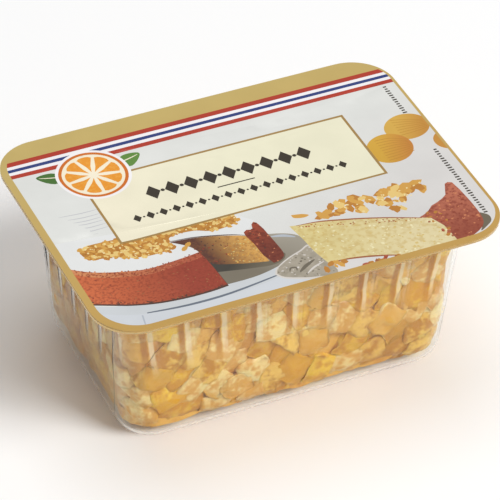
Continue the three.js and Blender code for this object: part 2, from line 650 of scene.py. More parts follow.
@dataclass
class DicedPeel:
    """The heap: dice settled against the inside of the tub, over a smaller core."""

    shape: TubShape
    count: int = 900
    edge: float = 7.6
    apart: float = 5.5
    room: float = 1.12
    spring: float = 0.28
    die_reach: float = 0.45
    snug: float = 0.8
    snug_tilt: float = 0.32
    stretch: Point = (0.72, 1.25)
    spread: Point = (0.88, 1.1)
    contact: float = 0.2
    looseness: float = 0.9
    dome: float = 0.022
    relief: float = 0.25
    rough_mm: float = 1.9
    rough_bias: float = 0.3
    fine_share: float = 0.5
    floor: float = 0.22
    lower_edge: float = 6.5
    film_gap: float = 0.9
    core_inset: float = 2.3
    core_lump: float = 1.2
    core_steps: int = 14
    # Painted shade on the dice begins and is full at these depths back from the wall.
    recess_shade_from: float = 0.5
    recess_shade_full: float = 1.5
    settle_rounds: int = 60
    rounding: int = 3
    crease: float = 0.62
    lump: float = 1.3
    lump_mm: float = 4.2
    seed: int = 11
    core_finish: CandiedFlesh = CandiedFlesh(
        "syrup_core", "#E6B048", "#C88420", "#C88A30", 0.0, mottle_mm=5.0
    )

    @property
    def ceiling(self) -> float:
        """The greatest height that the dice may have, under the film."""
        return self.shape.flange_top - self.film_gap

    def settle(self) -> np.ndarray:
        """Spread the dice evenly through the tub, as many as will lie in it.

        Returns:
            The middle of each one.
        """
        draws = np.random.default_rng(self.seed)
        half_x, half_y = self.shape.base_length / 2, self.shape.base_width / 2
        low, high = (-half_x, -half_y, self.floor), (half_x, half_y, self.ceiling)
        points = draws.uniform(low, high, (self.count, 3))
        reach = self.edge * self.die_reach
        inset, corner = self.shape.sheet + reach, max(self.lower_edge - reach, 1.0)
        for _ in range(self.settle_rounds):
            gap = points[:, None] - points[None]
            far = np.linalg.norm(gap, axis=2) + np.eye(len(points)) * 1e3
            push = np.clip(self.apart * self.room - far, 0, None) / far * self.spring
            points += (gap * push[..., None]).sum(axis=1)
            low, high = self.floor + reach, self.ceiling - reach
            self.shape.press_in(points, inset, corner, low, high)
        return points

    def lean(self, middle: np.ndarray, spin: random.Random) -> tuple[Matrix, bool]:
        """Turn one die so that a face lies against what is nearest to it.

        Args:
            middle: the die's middle.
            spin: where its random turns come from.

        Returns:
            Its rotation, and whether it lies against anything.
        """
        half_x, half_y = self.shape.half_sides(middle[2], self.shape.sheet)
        gaps = {
            (math.copysign(1, middle[0]), 0, 0): half_x - abs(middle[0]),
            (0, math.copysign(1, middle[1]), 0): half_y - abs(middle[1]),
            (0, 0, -1): middle[2] - self.floor,
        }
        outward, gap = min(gaps.items(), key=lambda item: item[1])
        tilt = self.snug_tilt if gap < self.edge * self.snug else math.pi
        face = spin.choice(("X", "-X", "Y", "-Y", "Z", "-Z", "-Z"))
        facing = Vector(outward).to_track_quat(face, "X" if "X" not in face else "Y")
        over, under = (Matrix.Rotation(spin.uniform(-tilt, tilt), 3, axis) for axis in "XY")
        about = Matrix.Rotation(spin.uniform(0, 2 * math.pi), 3, Vector(outward))
        return over @ under @ about @ facing.to_matrix(), gap < self.edge

    def places(self) -> dict[Cut, bpy.types.Object]:
        """Make a cloud of points for each kind, which carries each die's turn and tone.

        Returns:
            The point clouds, as meshes that hold only vertices.
        """
        spin = random.Random(self.seed)
        rows: dict[Cut, list] = {cut: [] for cut in Cut}
        for middle in self.settle():
            turn, shows = self.lean(middle, spin)
            cut = spin.choices(list(Cut), [c.share for c in Cut])[0]
            stretch = [spin.uniform(*self.stretch) for _ in range(3)]
            tone = spin.random()
            if shows:
                rows[cut].append((middle, tuple(turn.to_euler()), stretch, tone, spin.random()))
        clouds = {}
        for cut, dice in rows.items():
            mesh = bpy.data.meshes.new(f"{cut.name.lower()}_places")
            mesh.from_pydata([(die[0] * MM).tolist() for die in dice], [], [])
            for name, column in zip(("middle", "turn", "stretch", "tone", "loose"), zip(*dice)):
                flat = np.ravel(column)
                vector = len(flat) > len(dice)
                kind, part = ("FLOAT_VECTOR", "vector") if vector else ("FLOAT", "value")
                mesh.attributes.new(name, kind, "POINT").data.foreach_set(part, flat)
            clouds[cut] = bpy.data.objects.new(mesh.name, mesh)
            bpy.context.scene.collection.objects.link(clouds[cut])
        return clouds

    def dicing_tree(self) -> bpy.types.NodeTree:
        """The nodes that put one rounded, lumpy die at each point.

        Returns:
            A tree with named inputs for the die's edge, rounding, crease, lumps and finish.
        """
        tree = bpy.data.node_groups.new("diced_peel", "GeometryNodeTree")
        for name, way, kind in (
            ("Geometry", "INPUT", "Geometry"),
            ("Edge", "INPUT", "Float"),
            ("Rounding", "INPUT", "Int"),
            ("Crease", "INPUT", "Float"),
            ("Lump", "INPUT", "Float"),
            ("Seed", "INPUT", "Int"),
            ("Finish", "INPUT", "Material"),
            ("Geometry", "OUTPUT", "Geometry"),
        ):
            tree.interface.new_socket(name, in_out=way, socket_type=f"NodeSocket{kind}")
        add = partial(add_node, tree)
        given = add("NodeGroupInput").outputs
        cube = add("GeometryNodeMeshCube", {"Size": given["Edge"]})
        softened = {"Mesh": cube, "Level": given["Rounding"], "Edge Crease": given["Crease"]}
        rounded = add("GeometryNodeSubdivisionSurface", softened)
        place = add("GeometryNodeInputPosition")
        height = add("ShaderNodeSeparateXYZ", (place,)).outputs["Z"]
        share = add("ShaderNodeMath", (height, given["Edge"]), operation="DIVIDE")
        depth = add("ShaderNodeMath", (share, 0.5), operation="ADD")
        marked = {"Geometry": rounded, "Name": "depth", "Value": depth}
        die = add("GeometryNodeStoreNamedAttribute", marked, data_type="FLOAT", domain="POINT")
        turn, stretch = (
            add("GeometryNodeInputNamedAttribute", {"Name": name}, data_type="FLOAT_VECTOR")
            for name in ("turn", "stretch")
        )
        limits = {2: self.spread[0], 3: self.spread[1], "Seed": given["Seed"]}
        spread = add("FunctionNodeRandomValue", limits, data_type="FLOAT")
        scaled = {0: stretch, "Scale": spread}
        put = {
            "Points": add("GeometryNodeMeshToPoints", {"Mesh": given["Geometry"]}),
            "Instance": die,
            "Rotation": add("FunctionNodeEulerToRotation", (turn,)),
            "Scale": add("ShaderNodeVectorMath", scaled, operation="SCALE"),
        }
        solid = add("GeometryNodeRealizeInstances", (add("GeometryNodeInstanceOnPoints", put),))
        waves = {"Vector": place, "Scale": 1 / (self.lump_mm * MM), "Detail": 1.0}
        lumps = add("ShaderNodeTexNoise", waves).outputs["Color"]
        centred = add("ShaderNodeVectorMath", (lumps, (0.5, 0.5, 0.5)), operation="SUBTRACT")
        sized = {0: centred, "Scale": given["Lump"]}
        offset = add("ShaderNodeVectorMath", sized, operation="SCALE")
        lumpy = add("GeometryNodeSetPosition", {"Geometry": solid, "Offset": offset})
        smooth = add("GeometryNodeSetShadeSmooth", (lumpy,))
        dressed = {"Geometry": smooth, "Material": given["Finish"]}
        add("NodeGroupOutput", (add("GeometryNodeSetMaterial", dressed),))
        return tree

    def cut_dice(
        self, cloud: bpy.types.Object, tree: bpy.types.NodeTree, cut: Cut
    ) -> bpy.types.Mesh:
        """Run the nodes on one cloud of points.

        Args:
            cloud: the points of one kind of dice, which is removed.
            tree: the dicing nodes.
            cut: the kind.

        Returns:
            A plain mesh of all its dice.
        """
        modifier = cloud.modifiers.new("dicing", "NODES")
        modifier.node_group = tree
        values = {
            "Edge": self.edge * MM,
            "Rounding": self.rounding,
            "Crease": self.crease,
            "Lump": 2 * self.lump * MM,
            "Seed": self.seed,
            "Finish": cut.finish.material(self.shape),
        }
        for socket in tree.interface.items_tree:
            if socket.in_out == "INPUT" and socket.name in values:
                modifier[socket.identifier] = values[socket.name]
        seen = bpy.context.evaluated_depsgraph_get()
        mesh = bpy.data.meshes.new_from_object(cloud.evaluated_get(seen))
        mesh.name = f"{cut.name.lower()}_dice"
        bpy.data.objects.remove(cloud)
        return mesh

    def press(self, mesh: bpy.types.Mesh) -> None:
        """Press dice into the tub, and note where painted shade darkens them, back from its wall.

        Args:
            mesh: the dice, changed in place.
        """
        count = len(mesh.vertices)
        points, middle, loose = np.empty(count * 3), np.empty(count * 3), np.empty(count)
        mesh.vertices.foreach_get("co", points)
        mesh.attributes["middle"].data.foreach_get("vector", middle)
        mesh.attributes["loose"].data.foreach_get("value", loose)
        points = points.reshape(-1, 3) / MM
        away = np.linalg.norm(points - middle.reshape(-1, 3), axis=1)
        bumps = [
            noise.noise(Vector(p) / self.rough_mm) + self.fine_share * noise.noise(Vector(p))
            for p in points
        ]
        rough = self.relief * np.clip(np.array(bumps) + self.rough_bias, 0, 1)
        give = self.looseness * loose**2 + self.dome * away**2 + rough
        low, high = self.floor + give, self.ceiling - give
        self.shape.press_in(points, self.contact + give, self.lower_edge, low, high)
        mesh.vertices.foreach_set("co", (points * MM).ravel())
        # Painted shade: the further a point lies back from the wall, the darker it is painted.
        recess_shade = mesh.attributes.new("recess_shade", "FLOAT", "POINT")
        recess_shade.data.foreach_set("value", smoothstep(self.recess_shade_from, self.recess_shade_full, give))
        mesh.update()

    def core(self) -> bpy.types.Object:
        """Make the lumpy core that shows as deep amber between the dice.

        Returns:
            The finished piece.
        """
        shape, inset, steps = self.shape, self.core_inset, self.core_steps
        low_share, high_share, bevel, low_bevel, high_bevel = 0.7, 0.6, 2.0, 5.0, 4.0
        low, high = self.floor + inset * low_share, self.ceiling - inset * high_share
        rings = [shape.wall_ring(low, inset + low_bevel)]
        for k in range(steps + 1):
            z = low + bevel + (high - low - 2 * bevel) * k / steps
            rings.append(shape.wall_ring(z, inset))
        rings.append(shape.wall_ring(high, inset + high_bevel))
        points, faces = loft(rings, low, high)
        for p in points:
            size = max(math.hypot(p[0], p[1]), 1e-6)
            p[:2] += p[:2] / size * noise.noise(Vector(p) / self.edge) * self.core_lump
            p[2] += noise.noise(Vector((p[0], p[1], p[2] + 50)) / self.edge) * self.core_lump
        return mesh_object("syrup_core", points, faces, [self.core_finish.material(shape)])

    def build(self) -> list[bpy.types.Object]:
        """Make the core and the dice of every kind, and hand them to the frame.

        Returns:
            The finished pieces.
        """
        tree = self.dicing_tree()
        clouds = self.places()
        pieces = [self.core()]
        for cut, cloud in clouds.items():
            mesh = self.cut_dice(cloud, tree, cut)
            self.press(mesh)
            pieces.append(bpy.data.objects.new(mesh.name, mesh))
            bpy.context.scene.collection.objects.link(pieces[-1])
        for piece in pieces:
            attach(piece, BODY)
            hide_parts("candied_peel")
        return pieces


# --------------------------------------------------------------- the printed film


@dataclass(frozen=True)
class PrintedInk:
    """Ink under the film's clear face: even satin colour, with what it pictures.

    A fade is the colour it ends in, where it starts and how far it goes. A fleck is its
    colour, its size in millimetres and how strong it is at most.
    """

    colour: str
    fleck: tuple[str, float, float] | None = None
    fade: tuple[str, Point, Point] | None = None
    roughness: float = 0.32
    cloud_mm: float = 9.0

    def material(self, name: str) -> bpy.types.Material:
        """Build the ink: its colour, a fade across it, flecks and a little cloudiness.

        Args:
            name: the material's name.

        Returns:
            The new material.
        """
        material, tree = open_material(name)
        add = partial(add_node, tree)
        place = add("ShaderNodeTexCoord").outputs["Object"]
        soft = {"Vector": place, "Scale": 1 / (self.cloud_mm * MM), "Detail": 4.0}
        cloudy = add("ShaderNodeTexNoise", soft)
        colour = add("ShaderNodeRGB")
        colour.outputs[0].default_value = srgb(self.colour)
        layers = []
        if self.fade:
            code, start, reach = self.fade
            slope = Vector(reach) / Vector(reach).length_squared / MM
            ahead = (place, (slope.x, slope.y, 0.0))
            along = add("ShaderNodeVectorMath", ahead, operation="DOT_PRODUCT")
            sum_up = (along, -Vector(start).dot(slope) * MM)
            layers.append((code, add("ShaderNodeMath", sum_up, operation="ADD", use_clamp=True)))
        if self.fleck:
            code, size, most = self.fleck
            fine = {"Vector": place, "Scale": 1 / (size * MM), "Detail": 3.0}
            grain = add("ShaderNodeTexNoise", fine)
            layers.append((code, add("ShaderNodeMapRange", (grain, 0.46, 0.66, 0.0, most))))
        for code, share in layers:
            mixed = {0: share, 6: colour, 7: srgb(code)}
            colour = add("ShaderNodeMix", mixed, data_type="RGBA")
        shade, gloss = (
            add("ShaderNodeMapRange", (cloudy, 0.3, 0.7, low, high))
            for low, high in ((0.97, 1.02), (self.roughness - 0.04, self.roughness + 0.05))
        )
        tinted = add("ShaderNodeVectorMath", {0: colour, "Scale": shade}, operation="SCALE")
        shader = add("ShaderNodeBsdfPrincipled", {"Base Color": tinted, "Roughness": gloss})
        add("ShaderNodeOutputMaterial", {"Surface": shader})
        return material


class Ink(Enum):
    """Every ink on the film, from the border to the last leaf, and its lacquered back."""

    # The gold's fade, lighter at the back and darker at the front, is painted sheen.
    GOLD = PrintedInk("#C5AD69", fade=("#BF9850", (-10, 34), (10, -66)), roughness=0.36)
    FIELD = PrintedInk("#DFE0DC", fade=("#D8D5D2", (16, 6), (14, -22)))
    RED = PrintedInk("#B23A28")
    WHITE = PrintedInk("#F4F1F2")
    BLUE = PrintedInk("#2F3F7C")
    PANEL = PrintedInk("#ECE8CC", fade=("#F0E9CF", (0, 10), (-30, 0)))
    PANEL_EDGE = PrintedInk("#A4834C")
    MARK = PrintedInk("#3A3329")
    STREAK = PrintedInk("#C3C3C6")
    FROSTING = PrintedInk("#E4E5E4")
    CRUST = PrintedInk("#CC6A40", ("#843624", 0.6, 0.6), ("#9C4230", (-44, -18), (20, -2)))
    CRUST_RIM = PrintedInk("#D48C5C", ("#9A4628", 0.55, 1.0), ("#B45E44", (-44, -14), (18, 0)))
    CRUST_END = PrintedInk("#9C4730", ("#64291F", 0.9, 0.8), ("#7A3A2A", (-5, -12), (3, -6)))
    SLICE_CRUST = PrintedInk("#BC6E54", ("#8A3F30", 0.8, 0.8), ("#984E39", (38, -18), (0, -13)))
    PALE_CRUST = PrintedInk("#CC8058")
    DARK_CRUST = PrintedInk("#8C3F2C")
    BURNT = PrintedInk("#54392F")
    SEAM = PrintedInk("#A2643F")
    PALE_CRUMB = PrintedInk("#EBE1B4")
    GOLD_CRUMB = PrintedInk("#D3BA76")
    CRUMB = PrintedInk("#DCCB8C", ("#C4A55C", 1.3, 0.5), ("#DED0A2", (8, -18), (20, -8)))
    CRUMB_SHADE = PrintedInk("#5E3A2E", ("#8A5A34", 1.0, 0.5), ("#D8A458", (-17, -15), (8.5, 1.5)))
    SHADOW = PrintedInk("#45413A", fade=("#6E6554", (-14, -22), (4, -5)))
    PLATE = PrintedInk("#7C7465", fade=("#A19A8C", (-10, -26), (10, 9)))
    RIM = PrintedInk("#CBCFD2")
    RIM_LINE = PrintedInk("#6C7480")
    RIM_SHADE = PrintedInk("#B4BAC2")
    TABLE = PrintedInk("#CFD3D8")
    SERVER = PrintedInk("#A9A090", ("#8E8676", 1.6, 0.5))
    SERVER_RIM = PrintedInk("#D5CFC8")
    PALE_SERVER = PrintedInk("#B9B1A2")
    SERVER_MARK = PrintedInk("#6E6658")
    ORANGE = PrintedInk("#D3A53C", fade=("#C58237", (34, 3.5), (6, -2)))
    FAR_ORANGE = PrintedInk("#D4A94A", fade=("#C58C3C", (40.5, 9), (6, -2.5)))
    ORANGE_LINE = PrintedInk("#B9822E")
    BIT_GLINT = PrintedInk("#F0DCA2")
    LIGHT_BIT = PrintedInk("#E6C57A")
    MIDDLE_BIT = PrintedInk("#D39F4B")
    DEEP_BIT = PrintedInk("#BC7F35")
    BIT_BED = PrintedInk("#C08638", ("#A46824", 0.9, 0.8))
    SEGMENT = PrintedInk("#E8962A", ("#F0B04C", 0.8, 0.5))
    PEEL = PrintedInk("#CF6E1E")
    PITH = PrintedInk("#F5EBD2")
    LEAF = PrintedInk("#5F8A3C")
    DARK_LEAF = PrintedInk("#476F30")
    UNDERSIDE = PrintedInk("#DDC084", roughness=0.4)

    def material(self) -> bpy.types.Material:
        """Build this ink's material under its own name."""
        lacquer = self is Ink.UNDERSIDE
        return self.value.material("underside_lacquer" if lacquer else f"{self.name.lower()}_ink")


Layer = tuple[Ink | None, list[Point]]


def box_loop(x0: float, y0: float, x1: float, y1: float) -> list[Point]:
    """The corners of an upright rectangle, anticlockwise."""
    return [(x0, y0), (x1, y0), (x1, y1), (x0, y1)]


def round_box_loop(half_x: float, half_y: float, corner: float, shift: float = 0.0) -> list[Point]:
    """A rectangle with round corners, anticlockwise.

    Args:
        half_x: half its size along X.
        half_y: half its size along Y.
        corner: radius of its corners.
        shift: how far its middle lies from the origin, along X and along Y.

    Returns:
        Its outline.
    """
    loop, steps = [], 20
    for turn, (sx, sy) in enumerate(((1, -1), (1, 1), (-1, 1), (-1, -1))):
        cx, cy = shift + sx * (half_x - corner), shift + sy * (half_y - corner)
        for k in range(steps + 1):
            angle = (turn - 1 + k / steps) * math.pi / 2
            loop.append((cx + corner * math.cos(angle), cy + corner * math.sin(angle)))
    return loop


def round_loop(
    place: Point, radii: Point, steps: int = 40, turn: float = 0.0, reaches: Sequence[float] = ()
) -> list[Point]:
    """An ellipse about a point, or an uneven outline like one.

    Args:
        place: its middle.
        radii: its radii.
        steps: how many points it has.
        turn: how far it is turned, in radians.
        reaches: for each point, the share of the radii that it lies out, or none for all.

    Returns:
        Its outline, anticlockwise.
    """
    loop = []
    for k in range(steps):
        angle, reach = k / steps * math.tau, reaches[k] if reaches else 1.0
        a, b = radii[0] * reach * math.cos(angle), radii[1] * reach * math.sin(angle)
        c, s = math.cos(turn), math.sin(turn)
        loop.append((place[0] + a * c - b * s, place[1] + a * s + b * c))
    return loop


def flowing(points: Sequence[Point], steps: int = 5) -> list[Point]:
    """An open smooth curve through points, by Catmull and Rom's rule.

    Args:
        points: the points that it passes.
        steps: how many pieces there are between two of them.

    Returns:
        The curve's points, both ends included.
    """
    ends = [Vector(p) for p in (points[0], *points, points[-1])]
    path = []
    for p0, p1, p2, p3 in zip(ends, ends[1:], ends[2:], ends[3:]):
        for t in (k / steps for k in range(steps)):
            bend = (2 * p0 - 5 * p1 + 4 * p2 - p3) * t**2 + (3 * p1 - p0 - 3 * p2 + p3) * t**3
            path.append(tuple(0.5 * (2 * p1 + (p2 - p0) * t + bend)))
    return [*path, tuple(points[-1])]


def ribbon(points: Sequence[Point], thick: float, taper: float = 0.3) -> list[Point]:
    """A line with a width, thinner towards its ends.

    Args:
        points: the points that its middle passes.
        thick: its greatest width.
        taper: the share of that width that its ends keep.

    Returns:
        Its outline, anticlockwise.
    """
    path = [Vector(p) for p in flowing(points, 4)]
    left, right = [], []
    for i, p in enumerate(path):
        ahead = (path[min(i + 1, len(path) - 1)] - path[max(i - 1, 0)]).normalized()
        swell = taper + (1 - taper) * math.sin(math.pi * i / (len(path) - 1))
        side = Vector((-ahead.y, ahead.x)) * thick / 2 * swell
        left.append(tuple(p + side))
        right.append(tuple(p - side))
    return [*right, *reversed(left)]


def inside(loop: Sequence[Point], x: float, y: float) -> bool:
    """Whether a point lies inside a closed outline.

    Args:
        loop: the outline.
        x: the point's place along X.
        y: its place along Y.

    Returns:
        True if it does.
    """
    hit = False
    for (ax, ay), (bx, by) in zip(loop, [*loop[1:], loop[0]]):
        if (ay > y) != (by > y) and x < (bx - ax) * (y - ay) / (by - ay) + ax:
            hit = not hit
    return hit


@dataclass
class CakePrint:
    """What is printed on the film: stripes, a blank title panel, fruit and cake.

    Coordinates are millimetres from the middle of the film, X to the right and Y to the
    back. The title panel holds rows of lozenges, and a citrus wheel stands for a badge.
    """

    seed: int = 5

    def __post_init__(self) -> None:
        """Start the random draws that the crumbs and flakes take."""
        self.draws = random.Random(self.seed)

    def flakes(
        self, region: list[Point], count: int, small: float, large: float, *inks: Ink
    ) -> list[Layer]:
        """Scatter small uneven flakes over a region.

        Args:
            region: the closed outline that their middles stay in.
            count: how many there are.
            small: the least radius.
            large: the greatest radius.
            inks: the inks to choose from.

        Returns:
            The flakes in the order that they lie on each other.
        """
        draw = self.draws.uniform
        xs, ys = [p[0] for p in region], [p[1] for p in region]
        made: list[Layer] = []
        while len(made) < count:
            x, y = draw(min(xs), max(xs)), draw(min(ys), max(ys))
            if not inside(region, x, y):
                continue
            size, turn = draw(small, large), draw(0, math.tau)
            corners, flat = self.draws.randint(5, 7), draw(0.5, 0.8)
            reaches = [draw(0.75, 1.1) for _ in range(corners)]
            loop = round_loop((x, y), (size, size * flat), corners, turn, reaches)
            made.append((self.draws.choice(inks), loop))
        return made

    def frame_fields(self) -> list[Layer]:
        """The picture's pale field and the stripes behind it.

        Returns:
            Its layers, the lowest first.
        """
        fields: list[Layer] = [(Ink.FIELD, box_loop(-47, -34, 47.6, 29.6))]
        edges = (29.6, 28.1, 27.1, 26.1, 25.1, 23.8)
        inks = (Ink.RED, Ink.WHITE, Ink.BLUE, Ink.WHITE, Ink.RED)
        for ink, high, low in zip(inks, edges, edges[1:]):
            fields.append((ink, box_loop(-47, low, 47.6, high)))
        return fields

    def table(self) -> list[Layer]:
        """The pale table, its soft streaks and the plate with its rim.

        Returns:
            Its layers, the lowest first.
        """
        streaks = [
            (Ink.STREAK, ribbon([(-42 + 1.5 * k, y), (-37, y - 0.25), (-33, y + 0.1)], 0.28))
            for k, y in ((0, 7.2), (1, 5.6), (1.5, 4.3), (2, 3.2), (2.6, 1.9), (3.2, 0.6), (4, -0.8))
        ]
        front = [
            (-47, -23.4), (-40, -26.4), (-33, -28.0), (-25, -28.6), (-17.6, -28.2), (-9, -27.6),
            (-2, -25.0),
        ]
        low = [
            (-47, -26.2), (-40, -29.4), (-33, -30.9), (-25, -31.5), (-16, -31.3), (-9, -30.6),
            (0, -28.6),
        ]
        plate = [
            *flowing([(-18.0, -28.0), (-10.0, -27.8), (-2, -25.6), (4.4, -23.0)]),
            *flowing([(4.4, -20.5), (3.4, -18.0), (1.0, -16.2), (-2.4, -15.0)]),
            (-20, -15), (-20.4, -22), (-20.4, -28.1),
        ]
        line = [(-37, -30.0), (-28, -31.0), (-18, -30.9), (-5.5, -29.2)]
        return [
            *streaks,
            (Ink.TABLE, box_loop(-47, -34, 0, -25.5)),
            (Ink.RIM, [*flowing(low), *reversed(flowing(front))]),
            (Ink.PLATE, plate),
            (Ink.RIM_SHADE, ribbon([(-2, -16.2), (0.6, -16.9), (2.8, -18.4)], 0.9)),
            (Ink.RIM_LINE, ribbon(line, 0.65, 0.5)),
            (Ink.RIM_SHADE, ribbon([(-38.2, -30.3), (-38.8, -33.4)], 0.35, 1.0)),
        ]

    def round_cake(self) -> list[Layer]:
        """The iced round cake at the left, with a wedge cut out of it.

        Returns:
            Its layers, the lowest first.
        """
        rim = [
            (-47.5, -9.4), (-43.5, -12.4), (-40, -14.0), (-36, -15.1), (-31, -15.9), (-26, -15.7),
            (-21.5, -15.3), (-18.4, -14.9),
        ]
        foot = [
            (-17.6, -27.9), (-22, -28.3), (-28, -28.2), (-34, -27.4), (-40, -25.6), (-47.5, -22.3),
        ]
        side = [*flowing(rim), (-18.0, -17.5), (-17.8, -22.0), *flowing(foot)]
        lower = list(reversed(flowing([(x, y - 1.9) for x, y in rim])))
        frosting = [
            *flowing(rim), (-20.0, -12.2), (-23.2, -9.2), (-14, -10.8), (-6.8, -13.3), (-3.0, -9.5),
            (-8, -4), (-47.5, -1),
        ]
        wedge = [
            *flowing([(-23.0, -9.3), (-18.0, -9.9), (-13.5, -11.1), (-9.5, -12.5), (-6.6, -13.9)]),
            (-6.2, -18.0), (-6.0, -24.6),
            *flowing([(-6.0, -24.6), (-9, -24.4), (-13, -23.2), (-15.6, -21.6), (-17.8, -20.6)]),
            *flowing([(-17.8, -20.6), (-18.2, -16.0), (-19.6, -12.4), (-23.0, -9.3)]),
        ]
        shadow = [
            *flowing([(-17.8, -19.2), (-16.5, -20.6), (-14.0, -21.7), (-10.5, -23.0), (-6.2, -24.2)]),
            *flowing([
                (-2.4, -22.2), (-1.8, -23.2), (-3.2, -25.0), (-6.2, -25.7), (-11.0, -24.9),
                (-17.7, -23.2),
            ]),
        ]
        end = [
            (-6.9, -13.8), (-6.8, -12.5), (-5.9, -11.9), (-5.1, -12.2), (-4.5, -12.0), (-4.1, -10.6),
            (-3.4, -10.0), (-2.8, -10.5), (-2.3, -13.0),
            *flowing([(-2.0, -18.0), (-2.0, -22.5), (-3.1, -24.5), (-5.4, -25.2)]),
            (-6.3, -22.0), (-6.4, -17.0),
        ]
        heap = flowing([
            (-42.8, -6.0), (-41.0, -4.2), (-36.0, -3.9), (-30.0, -4.0), (-8.0, -4.6), (-6.0, -6.4),
            (-6.8, -8.8), (-10.5, -9.6), (-13.5, -9.2), (-16.5, -7.8), (-21.5, -7.6), (-23.0, -9.5),
            (-22.5, -11.8), (-26.0, -12.4), (-31.0, -12.0), (-36.5, -10.0), (-41.5, -9.2),
            (-42.8, -6.0),
        ])
        bits = (Ink.LIGHT_BIT, Ink.MIDDLE_BIT, Ink.MIDDLE_BIT, Ink.LIGHT_BIT, Ink.DEEP_BIT)
        speck = (Ink.DARK_CRUST, Ink.PALE_CRUST, Ink.DARK_CRUST)
        brim = [*flowing([(x, y + 0.3) for x, y in rim]), *lower]
        base = [*flowing(foot), *reversed(flowing([(x, y + 0.7) for x, y in foot]))]
        lit = [(-8.0, -13.8), (-6.6, -14.4), (-6.4, -23.4), (-12.6, -22.4), (-13.4, -16.0)]
        unlit = [(-20.6, -10.6), (-10.0, -12.8), (-12.6, -17.0), (-15.0, -21.4), (-17.6, -20.0)]
        seam = [(-23.4, -9.1), (-18.0, -9.7), (-13.5, -10.9), (-9.5, -12.2), (-6.8, -13.6)]
        return [
            (Ink.FROSTING, frosting),
            (Ink.BURNT, [(x + 0.1, y - 0.6) for x, y in side]),
            (Ink.CRUST, side),
            (Ink.CRUST_RIM, [*flowing(rim), *lower]),
            *self.flakes(brim, 90, 0.16, 0.34, *speck),
            *self.flakes(base, 60, 0.2, 0.42, Ink.BURNT, Ink.DARK_CRUST),
            *self.flakes(side, 150, 0.14, 0.3, Ink.DARK_CRUST, Ink.SEAM),
            (Ink.CRUMB_SHADE, wedge),
            *self.flakes(unlit, 40, 0.16, 0.36, Ink.BURNT, Ink.DARK_CRUST),
            *self.flakes(lit, 130, 0.14, 0.34, Ink.GOLD_CRUMB, Ink.MIDDLE_BIT, Ink.DEEP_BIT),
            (Ink.SHADOW, shadow),
            (Ink.CRUST_END, end),
            *self.flakes(end, 24, 0.16, 0.36, Ink.PALE_CRUST, Ink.BURNT),
            (Ink.BURNT, ribbon(seam, 0.34)),
            (Ink.BIT_BED, [(x * 0.985 - 0.35, y * 0.93 - 0.45) for x, y in heap]),
            *self.flakes(heap, 300, 0.45, 0.95, *bits),
            *self.flakes(heap, 80, 0.18, 0.36, Ink.BIT_GLINT),
            (Ink.MIDDLE_BIT, round_loop((-19.6, -11.6), (1.0, 0.6), 8, 0.7)),
            (Ink.MIDDLE_BIT, round_loop((-20.8, -12.6), (1.0, 0.6), 8, 0.7)),
        ]

    def cake_server(self) -> list[Layer]:
        """The tip of the cake server at the front.

        Returns:
            Its layers, the lowest first.
        """
        blade = [
            (-6.9, -29.0), (-5.6, -27.0), (-2.0, -24.8), (1.5, -23.4), (4.2, -22.3), (5.2, -27.0),
            (6.0, -34.2), (0.6, -33.6), (-3.0, -32.3), (-5.8, -30.8), (-6.9, -29.0),
        ]
        grey = [(x * 0.95 + 0.15, (y + 28.5) * 0.9 - 28.4) for x, y in blade]
        curl = [(-3.6, -29.4), (-2.9, -28.3), (-1.8, -28.6), (-2.0, -29.6)]
        marks = (Ink.SERVER_RIM, Ink.SERVER_MARK, Ink.PALE_SERVER)
        return [
            (Ink.SERVER_RIM, flowing(blade)),
            (Ink.SERVER, flowing(grey)),
            *self.flakes(grey, 60, 0.16, 0.42, *marks),
            (Ink.SERVER_MARK, ribbon(curl, 0.5)),
            (Ink.SERVER_MARK, ribbon([(-1.6, -30.3), (0.4, -28.9), (3.0, -27.6)], 0.9)),
            (Ink.SERVER_RIM, ribbon([(-0.4, -31.4), (1.8, -30.0), (4.6, -29.0)], 0.5)),
        ]

    def cake_slice(self) -> list[Layer]:
        """The slice with its crust at the right, the bits on it and those below it.

        Returns:
            Its layers, the lowest first.
        """
        top = [(3.2, -14.5), (7.0, -15.2), (13.0, -16.5), (19.0, -18.4), (25.0, -20.9), (30.5, -23.5)]
        foot = [(21.5, -34.0), (18.0, -32.6), (13.5, -31.2), (9.0, -30.3), (5.3, -30.1)]
        crumb = [
            *reversed(flowing(top)),
            *flowing([(3.2, -14.5), (3.9, -20.0), (4.2, -25.0), (5.3, -30.1)]),
            *reversed(flowing(foot)), (34.4, -34.2), (34.0, -28.0), (32.6, -24.2),
        ]
        crust = [
            (30.3, -23.3), (32.0, -22.6), (33.4, -21.7), (34.8, -20.4), (36.4, -19.9), (38.0, -19.2),
            (39.2, -18.4), (40.0, -16.6), (40.8, -14.9), (41.6, -14.6), (42.5, -15.1),
            *flowing([
                (42.9, -18.0), (43.2, -24.0), (42.9, -29.0), (41.5, -31.6), (38.4, -33.5),
                (34.4, -34.2),
            ]),
            (34.0, -28.0), (32.6, -24.4),
        ]
        shade = [
            (43.2, -27.0), (44.6, -28.6), (44.2, -30.6), (42.0, -32.2), (40.6, -32.8), (41.8, -31.0),
            (43.2, -27.0),
        ]
        heap = flowing([
            (9.6, -12.4), (12.0, -11.2), (18.0, -11.0), (26.0, -11.2), (30.0, -10.9), (35.8, -11.4),
            (36.2, -13.6), (34.0, -15.6), (31.0, -16.2), (29.4, -18.2), (26.4, -18.0), (24.6, -14.8),
            (21.6, -14.2), (20.6, -16.6), (18.6, -14.4), (12.0, -14.6), (9.6, -12.4),
        ])
        low_bits = [(3.0, -31.2), (5.4, -30.2), (8.6, -30.6), (8.2, -32.4), (5.0, -32.4), (3.0, -31.2)]
        end_bits = [
            (12.4, -33.4), (15.6, -31.8), (19.4, -32.6), (21.6, -34.2), (14.0, -34.4), (12.4, -33.4),
        ]
        upper = [
            (4.6, -14.9), (9.0, -15.4), (13.0, -16.4), (19.0, -18.3), (25.0, -20.8), (30.8, -23.6),
        ]
